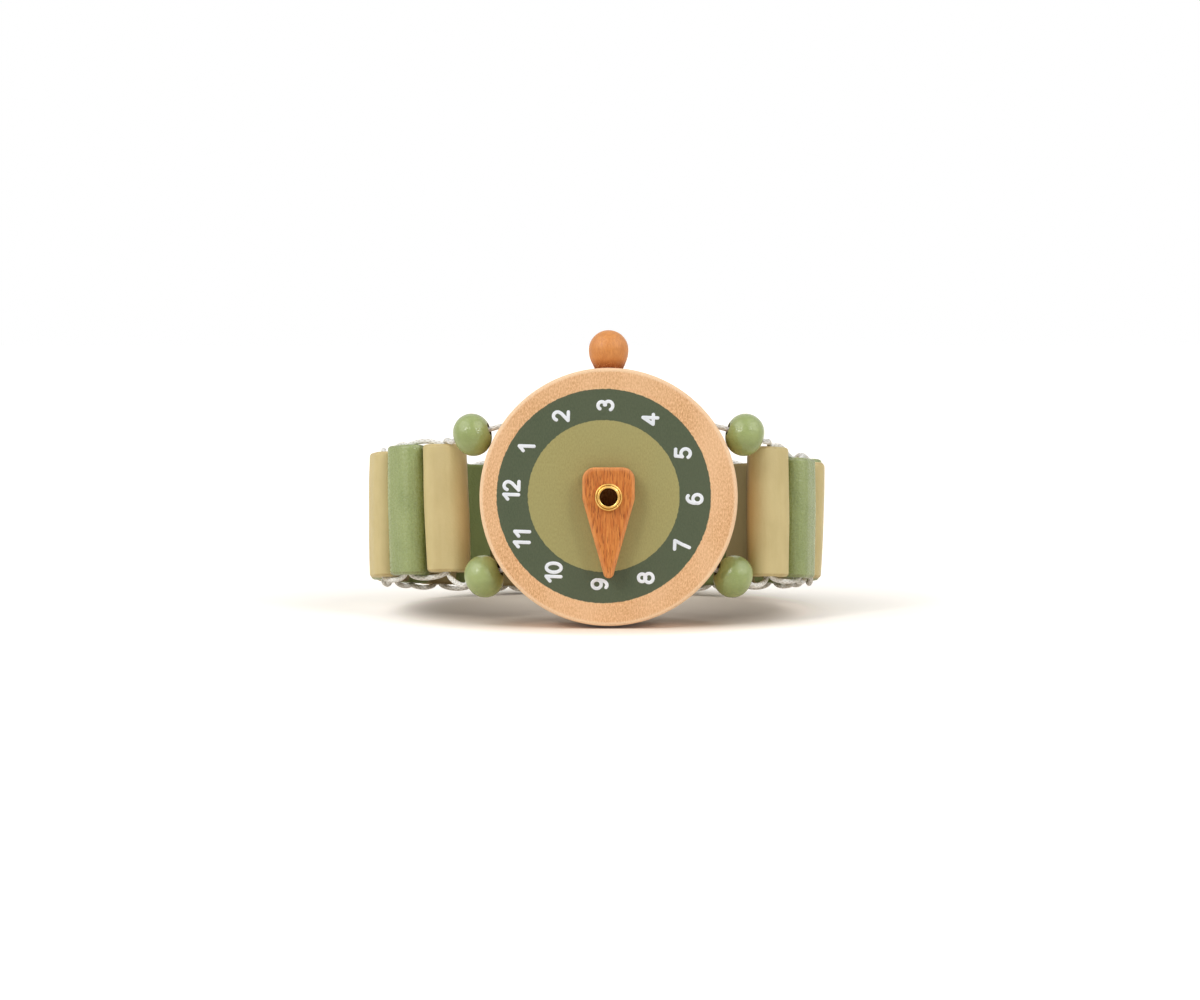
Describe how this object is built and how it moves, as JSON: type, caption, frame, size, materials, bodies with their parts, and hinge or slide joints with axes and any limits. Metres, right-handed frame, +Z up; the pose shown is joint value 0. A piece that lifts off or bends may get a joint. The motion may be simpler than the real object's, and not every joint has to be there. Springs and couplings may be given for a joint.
{
  "type": "toy watch",
  "caption": "Wooden toy wristwatch with a printed disc case, a turning hand on a brass rivet, a ball crown, lug beads and a strap of painted tiles on elastic.",
  "frame": {"origin": "point of the case's lower rear rim on which the watch stands", "axes": "+Z up, crown on top; -Y the way the dial looks, leaning back a little; +X to the right of the dial as seen from the front"},
  "size_m": [0.0741, 0.0695, 0.0462],
  "materials": {
    "case_wood": "pale bare wood, printed dial on the front",
    "hand_wood": "reddish brown stain",
    "crown_wood": "orange brown stain, satin",
    "bead_paint": "satin green paint",
    "tile_beige": "smooth beige paint",
    "tile_green": "glossy sage green paint",
    "brass": "polished, a little worn",
    "elastic": "white covered elastic"
  },
  "bodies": {
    "case": {"case_disc": "case_wood", "rivet": "brass", "crown": "crown_wood", "elastic_case": "elastic"},
    "hand": {"hand": "hand_wood"},
    "lug_bead_upper_right": {"lug_bead_upper_right": "bead_paint"},
    "lug_bead_upper_left": {"lug_bead_upper_left": "bead_paint"},
    "lug_bead_lower_right": {"lug_bead_lower_right": "bead_paint"},
    "lug_bead_lower_left": {"lug_bead_lower_left": "bead_paint"},
    "tile_01": {"strap_tile_01": "tile_beige", "elastic_01": "elastic"},
    "tile_02": {"strap_tile_02": "tile_green", "elastic_02": "elastic"},
    "tile_03": {"strap_tile_03": "tile_beige", "elastic_03": "elastic"},
    "tile_04": {"strap_tile_04": "tile_green", "elastic_04": "elastic"},
    "tile_05": {"strap_tile_05": "tile_beige", "elastic_05": "elastic"},
    "tile_06": {"strap_tile_06": "tile_green", "elastic_06": "elastic"},
    "tile_07": {"strap_tile_07": "tile_beige", "elastic_07": "elastic"},
    "tile_08": {"strap_tile_08": "tile_green", "elastic_08": "elastic"},
    "tile_09": {"strap_tile_09": "tile_beige", "elastic_09": "elastic"},
    "tile_10": {"strap_tile_10": "tile_green", "elastic_10": "elastic"},
    "tile_11": {"strap_tile_11": "tile_beige", "elastic_11": "elastic"},
    "tile_12": {"strap_tile_12": "tile_green", "elastic_12": "elastic"},
    "tile_13": {"strap_tile_13": "tile_beige", "elastic_13": "elastic"},
    "tile_14": {"strap_tile_14": "tile_green", "elastic_14": "elastic"},
    "tile_15": {"strap_tile_15": "tile_beige", "elastic_15": "elastic"},
    "tile_16": {"strap_tile_16": "tile_green", "elastic_16": "elastic"},
    "tile_17": {"strap_tile_17": "tile_beige", "elastic_17": "elastic"},
    "tile_18": {"strap_tile_18": "tile_green", "elastic_18": "elastic"},
    "tile_19": {"strap_tile_19": "tile_beige", "elastic_19": "elastic"},
    "tile_20": {"strap_tile_20": "tile_green", "elastic_20": "elastic"},
    "tile_21": {"strap_tile_21": "tile_beige", "elastic_21": "elastic"}
  },
  "joints": [
    {"name": "hand_turn", "type": "hinge", "parent": "case", "child": "hand", "pos_m": [0, -0.00868, 0.02043], "axis": [0, -0.9989, 0.0465], "continuous": true},
    {"name": "lug_bead_upper_right_spin", "type": "hinge", "parent": "case", "child": "lug_bead_upper_right", "pos_m": [0.02127, -0.00323, 0.02983], "axis": [0.9428, 0.1057, -0.3162], "continuous": true},
    {"name": "lug_bead_upper_left_spin", "type": "hinge", "parent": "case", "child": "lug_bead_upper_left", "pos_m": [-0.02127, -0.00323, 0.02983], "axis": [-0.9428, 0.1057, -0.3162], "continuous": true},
    {"name": "lug_bead_lower_right_spin", "type": "hinge", "parent": "case", "child": "lug_bead_lower_right", "pos_m": [0.01948, -0.00426, 0.0077], "axis": [0.8966, 0.1659, -0.4106], "continuous": true},
    {"name": "lug_bead_lower_left_spin", "type": "hinge", "parent": "case", "child": "lug_bead_lower_left", "pos_m": [-0.01948, -0.00426, 0.0077], "axis": [-0.8966, 0.1659, -0.4106], "continuous": true},
    {"name": "strap_flex", "type": "hinge", "parent": "case", "child": "tile_01", "pos_m": [0.0253, 0.00199, 0.01771], "axis": [0, 0.1248, 0.9922], "range_deg": [-15, 15], "stiffness_Nm_per_rad": 0.03},
    {"name": "tile_02_turn", "type": "hinge", "parent": "tile_01", "child": "tile_02", "pos_m": [0.03003, 0.00764, 0.017], "axis": [0, 0.1248, 0.9922], "range_deg": [-6.7, 6.7]},
    {"name": "tile_03_turn", "type": "hinge", "parent": "tile_02", "child": "tile_03", "pos_m": [0.03216, 0.01467, 0.01611], "axis": [0, 0.1248, 0.9922], "range_deg": [-5.5, 5.5]},
    {"name": "tile_04_turn", "type": "hinge", "parent": "tile_03", "child": "tile_04", "pos_m": [0.03223, 0.02201, 0.01519], "axis": [0, 0.1248, 0.9922], "range_deg": [-4.4, 4.4]},
    {"name": "tile_05_turn", "type": "hinge", "parent": "tile_04", "child": "tile_05", "pos_m": [0.03064, 0.02918, 0.01429], "axis": [0, 0.1248, 0.9922], "range_deg": [-3.3, 3.3]},
    {"name": "tile_06_turn", "type": "hinge", "parent": "tile_05", "child": "tile_06", "pos_m": [0.0276, 0.03587, 0.01345], "axis": [0, 0.1248, 0.9922], "range_deg": [-2.1, 2.1]},
    {"name": "tile_07_turn", "type": "hinge", "parent": "tile_06", "child": "tile_07", "pos_m": [0.02325, 0.04181, 0.0127], "axis": [0, 0.1248, 0.9922], "range_deg": [-1, 1]},
    {"name": "tile_08_turn", "type": "hinge", "parent": "tile_07", "child": "tile_08", "pos_m": [0.01778, 0.04676, 0.01208], "axis": [0, 0.1248, 0.9922], "range_deg": [-0.4, 0.4]},
    {"name": "tile_09_turn", "type": "hinge", "parent": "tile_08", "child": "tile_09", "pos_m": [0.01139, 0.05047, 0.01161], "axis": [0, 0.1248, 0.9922], "range_deg": [-1.3, 1.3]},
    {"name": "tile_10_turn", "type": "hinge", "parent": "tile_09", "child": "tile_10", "pos_m": [0.00436, 0.05277, 0.01132], "axis": [0, 0.1248, 0.9922], "range_deg": [-2.5, 2.5]},
    {"name": "tile_21_turn", "type": "hinge", "parent": "case", "child": "tile_21", "pos_m": [-0.0253, 0.00402, 0.01745], "axis": [0, 0.1248, 0.9922], "range_deg": [-14.5, 14.5]},
    {"name": "tile_20_turn", "type": "hinge", "parent": "tile_21", "child": "tile_20", "pos_m": [-0.03162, 0.00783, 0.01697], "axis": [0, 0.1248, 0.9922], "range_deg": [-6.1, 6.1]},
    {"name": "tile_19_turn", "type": "hinge", "parent": "tile_20", "child": "tile_19", "pos_m": [-0.03537, 0.01417, 0.01618], "axis": [0, 0.1248, 0.9922], "range_deg": [-5.1, 5.1]},
    {"name": "tile_18_turn", "type": "hinge", "parent": "tile_19", "child": "tile_18", "pos_m": [-0.03665, 0.0214, 0.01527], "axis": [0, 0.1248, 0.9922], "range_deg": [-4, 4]},
    {"name": "tile_17_turn", "type": "hinge", "parent": "tile_18", "child": "tile_17", "pos_m": [-0.03584, 0.02869, 0.01435], "axis": [0, 0.1248, 0.9922], "range_deg": [-3, 3]},
    {"name": "tile_16_turn", "type": "hinge", "parent": "tile_17", "child": "tile_16", "pos_m": [-0.03324, 0.03557, 0.01348], "axis": [0, 0.1248, 0.9922], "range_deg": [-2, 2]},
    {"name": "tile_15_turn", "type": "hinge", "parent": "tile_16", "child": "tile_15", "pos_m": [-0.02912, 0.04166, 0.01272], "axis": [0, 0.1248, 0.9922], "range_deg": [-1, 1]},
    {"name": "tile_14_turn", "type": "hinge", "parent": "tile_15", "child": "tile_14", "pos_m": [-0.02373, 0.0467, 0.01208], "axis": [0, 0.1248, 0.9922], "range_deg": [-0.4, 0.4]},
    {"name": "tile_13_turn", "type": "hinge", "parent": "tile_14", "child": "tile_13", "pos_m": [-0.01737, 0.05045, 0.01161], "axis": [0, 0.1248, 0.9922], "range_deg": [-0.9, 0.9]},
    {"name": "tile_12_turn", "type": "hinge", "parent": "tile_13", "child": "tile_12", "pos_m": [-0.01035, 0.05277, 0.01132], "axis": [0, 0.1248, 0.9922], "range_deg": [-2.2, 2.2]},
    {"name": "tile_11_turn", "type": "hinge", "parent": "tile_12", "child": "tile_11", "pos_m": [-0.00299, 0.05355, 0.01122], "axis": [0, 0.1248, 0.9922], "range_deg": [-3.2, 3.2]}
  ],
  "couplings": [
    {"joint": "tile_02_turn", "follows": "strap_flex", "ratio": -0.44212},
    {"joint": "tile_03_turn", "follows": "strap_flex", "ratio": -0.36609},
    {"joint": "tile_04_turn", "follows": "strap_flex", "ratio": -0.29007},
    {"joint": "tile_05_turn", "follows": "strap_flex", "ratio": -0.21404},
    {"joint": "tile_06_turn", "follows": "strap_flex", "ratio": -0.13801},
    {"joint": "tile_07_turn", "follows": "strap_flex", "ratio": -0.06199},
    {"joint": "tile_08_turn", "follows": "strap_flex", "ratio": 0.02},
    {"joint": "tile_09_turn", "follows": "strap_flex", "ratio": 0.08411},
    {"joint": "tile_10_turn", "follows": "strap_flex", "ratio": 0.16609},
    {"joint": "tile_21_turn", "follows": "strap_flex", "ratio": -0.96206},
    {"joint": "tile_20_turn", "follows": "strap_flex", "ratio": 0.40133},
    {"joint": "tile_19_turn", "follows": "strap_flex", "ratio": 0.33353},
    {"joint": "tile_18_turn", "follows": "strap_flex", "ratio": 0.26572},
    {"joint": "tile_17_turn", "follows": "strap_flex", "ratio": 0.19792},
    {"joint": "tile_16_turn", "follows": "strap_flex", "ratio": 0.13011},
    {"joint": "tile_15_turn", "follows": "strap_flex", "ratio": 0.0623},
    {"joint": "tile_14_turn", "follows": "strap_flex", "ratio": -0.02},
    {"joint": "tile_13_turn", "follows": "strap_flex", "ratio": -0.05881},
    {"joint": "tile_12_turn", "follows": "strap_flex", "ratio": -0.14112},
    {"joint": "tile_11_turn", "follows": "strap_flex", "ratio": -0.20892}
  ]
}
